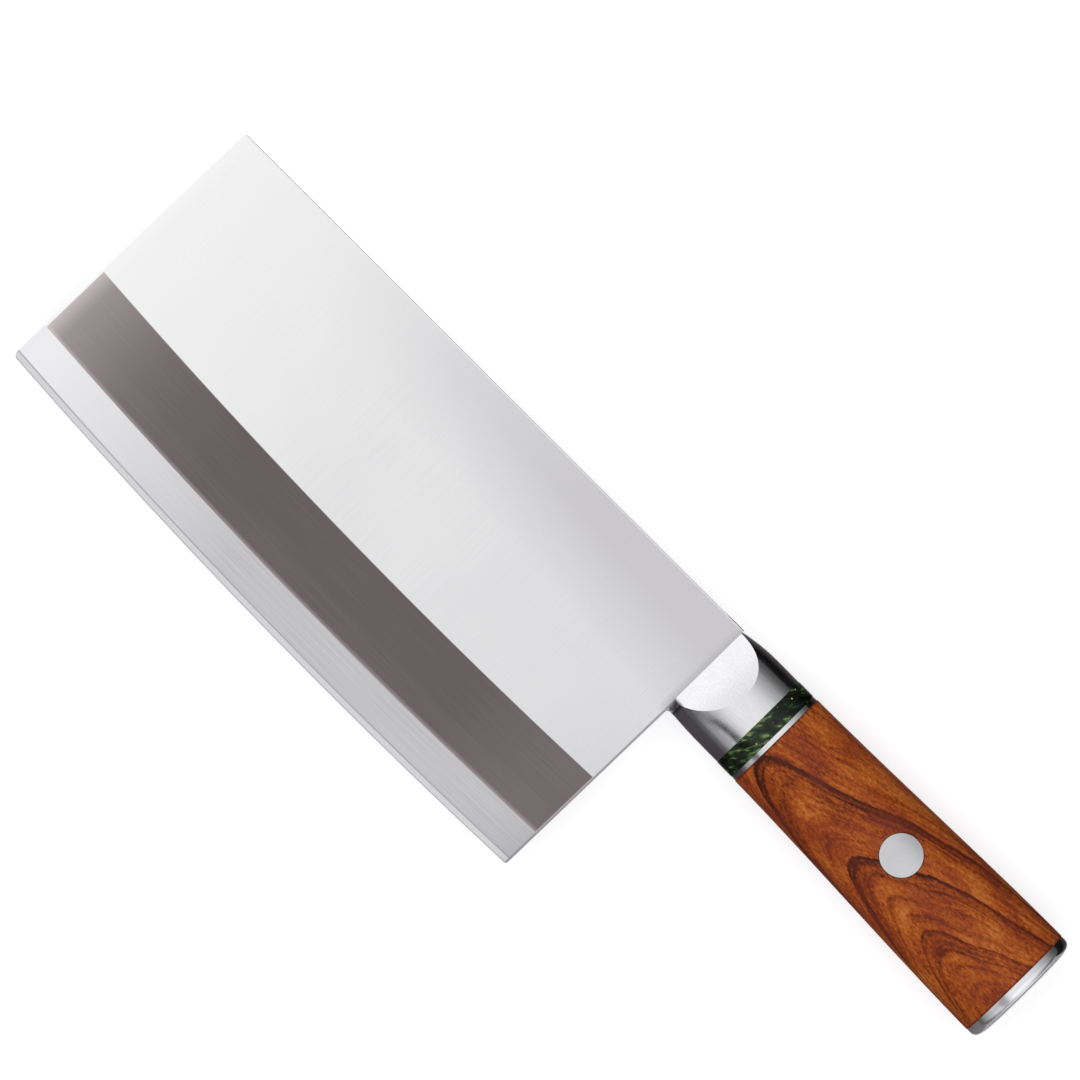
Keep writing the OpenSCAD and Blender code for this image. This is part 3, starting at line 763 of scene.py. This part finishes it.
def makeCap():
    size = {"round": 2.5, "dome": 0.6, "dowel": 2.0, "dowelDeep": 2.45, "dowelY": 11.0, "ease": 0.1}
    r = size["round"]
    rings = [section(capX, size["ease"]), section(capX + size["ease"])]
    rings += [section(fullX - r * (1 - math.sin(a)), r * (1 - math.cos(a)))
              for a in (math.radians(d) for d in range(0, 91, 6))]
    rings += [section(fullX + size["dome"] * (1 - s * s), r, s) for s in (0.9, 0.8, 0.65, 0.5, 0.35, 0.2)]
    rings.append(section(buttX, r, 0.08))
    piece = toObject(loft(rings, handle["around"]), "butt_cap")
    cutters = []
    for side in (1, -1):
        y = handle["tangHigh"] + side * size["dowelY"]
        cutters.append(roundHole(capX - past, capX + size["dowelDeep"], size["dowel"], (y, 0)))
    cutAway(piece, cutters)
    dress(piece, fittingSteel, "fitting_steel", "end_cap")


print("handle")
makeBolster()
makeRing("resin_band", "resin_ring", resinX, ringX, resin, "green_resin")
makeRing("steel_band", "steel_ring", ringX, woodX, fittingSteel, "fitting_steel")
makeWood()
makeRivet()
makeCap()


def makeFloor():
    # A white table top: the camera and the steel see it white, and it keeps a soft shadow.
    size = {"reach": 6.0, "glow": 0.62, "shade": "#c4c4c6"}   # reach in metres
    bm = bmesh.new()
    bmesh.ops.create_grid(bm, x_segments=1, y_segments=1, size=size["reach"])
    mesh = bpy.data.meshes.new("floor")
    bm.to_mesh(mesh)
    bm.free()
    floor = bpy.data.objects.new("floor", mesh)
    bpy.context.scene.collection.objects.link(floor)
    m = newMaterial("white table")
    ray = add(m, "LightPath")
    seen = add(m, "Math", [ray.outputs["Is Camera Ray"], ray.outputs["Is Glossy Ray"]], operation="MAXIMUM")
    seen = add(m, "Math", [seen, ray.outputs["Is Transmission Ray"]], operation="MAXIMUM")
    level = add(m, "Math", [seen, size["glow"]], operation="MULTIPLY")
    paint = add(m, "BsdfDiffuse", {"Color": colour(size["shade"])})
    glow = add(m, "Emission", {"Color": (1, 1, 1, 1), "Strength": level})
    finish(m, add(m, "AddShader", [paint, glow]))
    mesh.materials.append(m)


def makeLight():
    # Long soft boxes above the knife, seen in its steel as bands along the handle: a wide bright one
    # over the top, a fainter one beside it on the edge's side, and grey walls at both sides.
    sky = bpy.data.worlds.new("studio")
    bpy.context.scene.world = sky
    sky.use_nodes = True
    sky.node_tree.nodes.clear()
    bands = [  # degrees from straight up, to the spine's side, and the level there
        (-90, 0.1), (-70, 0.12), (-63, 0.33), (-54, 0.44), (-47, 0.56), (-41, 0.66), (-35, 0.6), (-29, 0.66),
        (-20, 0.88), (-12, 0.96), (0, 0.94), (10, 0.87), (20, 0.76), (31, 0.57), (40, 0.44), (50, 0.34),
        (58, 0.2), (70, 0.1), (90, 0.06)]
    ends = [  # the same light towards the tip (-1) and the butt (1), as a part of the most
        (-1, 0.75), (-0.87, 0.81), (-0.83, 0.83), (-0.8, 0.87), (-0.76, 0.96), (-0.7, 1.0), (-0.58, 0.95),
        (-0.4, 0.78), (-0.2, 0.728), (0.15, 0.728), (0.45, 0.89), (0.65, 0.89), (0.85, 0.84), (1, 0.75)]
    most = 1.38
    way = add(sky, "TexCoord")
    axes = add(sky, "SeparateXYZ", [way.outputs["Generated"]])
    tilt = add(sky, "Math", [axes.outputs["Y"], axes.outputs["Z"]], operation="ARCTAN2")
    place = add(sky, "Math", [tilt, 1 / math.pi, 0.5], operation="MULTIPLY_ADD")
    level = add(sky, "ValToRGB", {"Fac": place}, stops=[(0.5 + angle / 180, tone) for angle, tone in bands])
    reach = add(sky, "Math", [axes.outputs["X"], 0.5, 0.5], operation="MULTIPLY_ADD")
    share = add(sky, "ValToRGB", {"Fac": reach}, stops=[(0.5 + x / 2, tone) for x, tone in ends])
    strength = add(sky, "Math", [share, most], operation="MULTIPLY")
    ground = add(sky, "Background", {"Color": level, "Strength": strength})
    add(sky, "OutputWorld", {"Surface": ground})

    # one large soft lamp overhead, which the steel doesn't see
    size = {"place": (-20, 0, 900), "wide": 1500, "radiance": 0.45}
    lamp = bpy.data.lights.new("overhead", "AREA")
    lamp.shape = "SQUARE"
    lamp.size = size["wide"] * millimetre
    lamp.energy = size["radiance"] * math.pi * lamp.size ** 2
    holder = bpy.data.objects.new("overhead", lamp)
    holder.location = start + Vector(size["place"]) * millimetre
    holder.visible_camera = False
    holder.visible_glossy = False
    bpy.context.scene.collection.objects.link(holder)


def makeFlags():
    # Grey boards that only reflections see. Low ones stand at the spine's side, the edge's side, the
    # corner beside the cap and the butt, and draw the dark rims. Two narrow bent ones hang over the
    # handle, and draw the streak on the bolster and ring and the grey band on the cap.
    high = 9.0
    dark = [(0.0, "#aaa4a0"), (0.5, "#6a6461"), (0.74, "#19191b"), (1.0, "#2a2a2c")]
    low = {   # where it begins and ends, and its tones from the floor up
        "spine": ((-6, 22), (132, 22), dark),
        "edge": ((1.2, -22), (100, -22), [(0.0, "#80797e"), (1.0, "#80797e")]),
        "corner": ((100, -22), (132, -22), [(0.0, "#c0bec2"), (1.0, "#c0bec2")]),
        "butt": ((132, -22), (132, 22), [(0.0, "#e8e6e8"), (1.0, "#e8e6e8")]),
    }
    bent = {   # x, degrees from straight up to the edge's side, and half its width in degrees
        "streak": ("#161618", [
            (-4, 72, 6), (3.6, 61, 7), (6.7, 55, 7), (9.2, 49.5, 7), (11.3, 46, 6.5), (13.2, 43, 6),
            (15.1, 40.5, 5.5), (17, 38, 5.5), (18.6, 37, 5.5), (20.3, 36.5, 5.5), (25, 37, 6), (28, 37, 7)]),
        "cap": ("#f0f0f2", [(104, 24, 6), (140, 24, 6), (175, 26.5, 6), (314, 43, 5)]),
    }
    above, foot = 60.0, -12.0
    boards = []
    for name, (first, last, tones) in low.items():
        bm = bmesh.new()
        bmesh.ops.create_grid(bm, x_segments=1, y_segments=1, size=1)
        for v in bm.verts:
            x, y = first if v.co.x < 0 else last
            v.co = (x, y, foot if v.co.y < 0 else high)
        boards.append((name, bm, tones))
    for name, (tone, stations) in bent.items():
        bm = bmesh.new()
        steps = len(stations) - 1
        bmesh.ops.create_grid(bm, x_segments=steps, y_segments=1, size=1)
        for v in bm.verts:
            x, angle, half = stations[round((v.co.x + 1) / 2 * steps)]
            lean = math.radians(angle - half * v.co.y)
            v.co = (x, -above * math.tan(lean), above)
        boards.append((name, bm, [(0.0, tone), (1.0, tone)]))

    for name, bm, tones in boards:
        flag = toObject(bm, name + "_flag")
        m = newMaterial(name + " board")
        axes = add(m, "SeparateXYZ", [knifeSpace(m)])
        height = add(m, "MapRange", [axes.outputs["Z"], foot, high])
        finish(m, add(m, "BsdfDiffuse", {"Color": add(m, "ValToRGB", {"Fac": height}, stops=tones)}))
        flag.data.materials.append(m)
        flag.visible_camera = False
        flag.visible_diffuse = False
        flag.visible_shadow = False
        flag.visible_transmission = False


def makeCamera():
    # Straight above the knife, which runs from the lower left to the upper right of the picture.
    size = {"turn": 45.5, "aim": (-56.08, -7.56), "away": 4200.0, "frameWide": 291.6, "sensor": 36.0}
    camera = bpy.data.cameras.new("camera")
    camera.sensor_width = size["sensor"]
    camera.lens = size["sensor"] * size["away"] / size["frameWide"]
    camera.clip_end = 100
    holder = bpy.data.objects.new("camera", camera)
    holder.location = start + Vector((*size["aim"], size["away"])) * millimetre
    holder.rotation_euler = (0, 0, math.radians(size["turn"]))
    bpy.context.scene.collection.objects.link(holder)
    bpy.context.scene.camera = holder


print("floor, light and camera")
makeFloor()
makeLight()
makeFlags()
makeCamera()
bpy.context.scene.view_settings.view_transform = "Standard"
